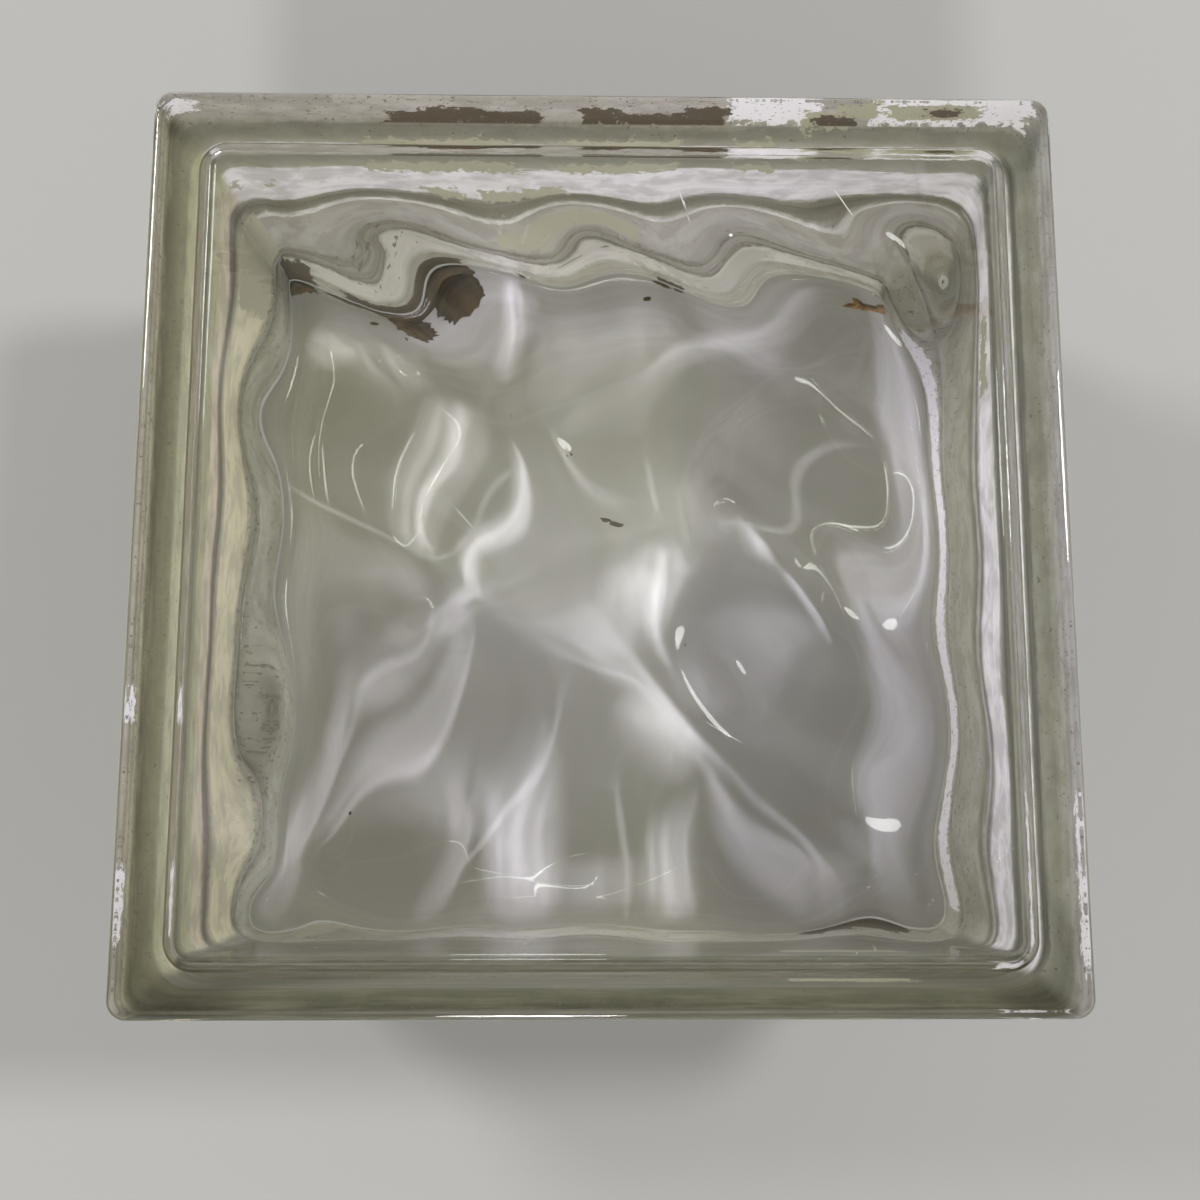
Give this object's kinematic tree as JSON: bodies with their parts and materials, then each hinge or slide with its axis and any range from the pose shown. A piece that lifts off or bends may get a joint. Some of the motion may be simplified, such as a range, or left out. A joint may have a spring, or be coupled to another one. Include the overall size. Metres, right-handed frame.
{
  "type": "glass block",
  "caption": "Square hollow glass building block of pressed half shells fused at mid thickness, with waved inner faces and a mortar channel round its edges.",
  "frame": {"origin": "middle of the lower face, on the floor that the block lies on", "axes": "+Z through the block's thickness from the lower face to the upper face, X and Y along its edges"},
  "size_m": [0.19, 0.19, 0.08],
  "materials": {
    "glass": "clear pressed glass with a faint olive tint"
  },
  "bodies": {
    "root": {"upper_half_shell": "glass", "lower_half_shell": "glass"}
  },
  "joints": []
}
